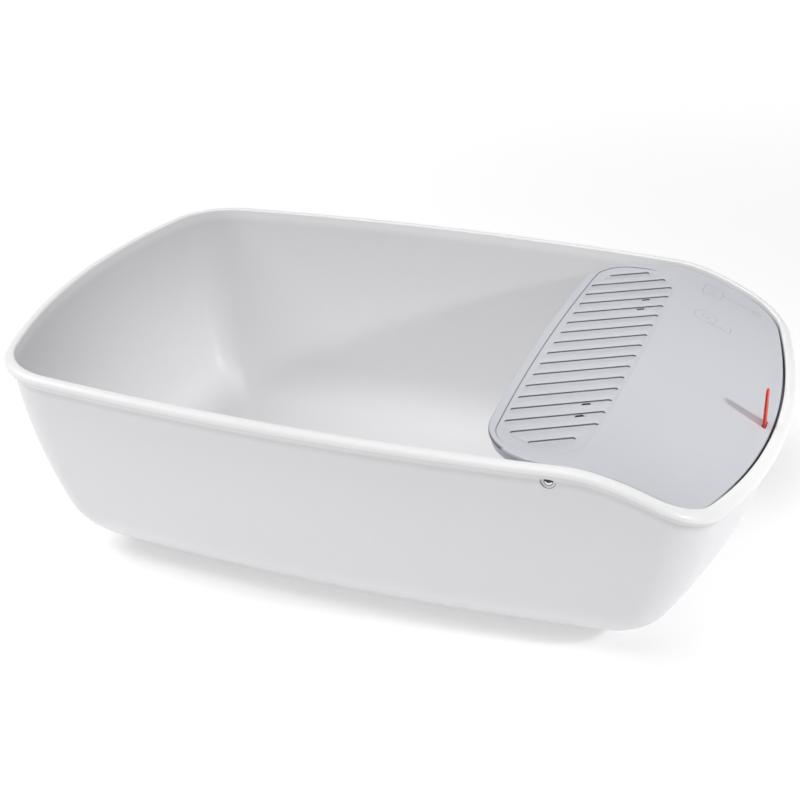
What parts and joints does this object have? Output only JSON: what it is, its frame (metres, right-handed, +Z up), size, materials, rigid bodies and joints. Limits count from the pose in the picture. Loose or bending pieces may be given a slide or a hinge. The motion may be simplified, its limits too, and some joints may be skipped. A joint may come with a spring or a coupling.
{
  "type": "litter tub",
  "caption": "Open white litter tub whose dipping end is covered by a grey hinged tread deck with a red pull loop over a storage bay with scoop and bag roll.",
  "frame": {"origin": "bottom centre of the tub's bounding box, in the plane the feet stand on", "axes": "+X along the tub towards the storage bay, -Y towards the wall that shows the hinge hole in front, +Z up"},
  "size_m": [0.64, 0.4298, 0.191],
  "materials": {
    "white_plastic": "moulded polypropylene, satin",
    "grey_plastic": "moulded polypropylene, satin",
    "red_band": "soft moulded band",
    "foot_rubber": "matt",
    "grip_rubber": "matt",
    "steel": "zinc plated",
    "card": "plain card",
    "bag_film": "thin film, wound"
  },
  "bodies": {
    "tub_body": {"tub": "white_plastic", "bulkhead": "white_plastic", "rubber_feet": "foot_rubber", "front_bush": "white_plastic", "rear_bush": "white_plastic", "hinge_rod": "steel", "retaining_rings": "steel", "scoop_shelf": "white_plastic", "handle_clip": "white_plastic", "front_bracket": "white_plastic", "rear_bracket": "white_plastic", "roll_spindle": "grey_plastic", "bay_screws": "steel"},
    "deck_body": {"deck": "grey_plastic", "pull_loop": "red_band", "loop_anchor": "steel"},
    "scoop_body": {"scoop": "grey_plastic", "scoop_grip": "grip_rubber"},
    "roll_body": {"roll_core": "card", "bag_roll": "bag_film"}
  },
  "joints": [
    {"name": "deck_hinge", "type": "hinge", "parent": "tub_body", "child": "deck_body", "pos_m": [0.176, 0, 0.1755], "axis": [0, -1, 0], "range_deg": [0, 52]},
    {"name": "scoop_lift", "type": "slide", "parent": "tub_body", "child": "scoop_body", "axis": [0, 0, 1], "range_m": [0, 0.028]},
    {"name": "roll_spin", "type": "hinge", "parent": "tub_body", "child": "roll_body", "pos_m": [0.247, 0.044, 0.059], "axis": [0, 1, 0], "continuous": true}
  ]
}
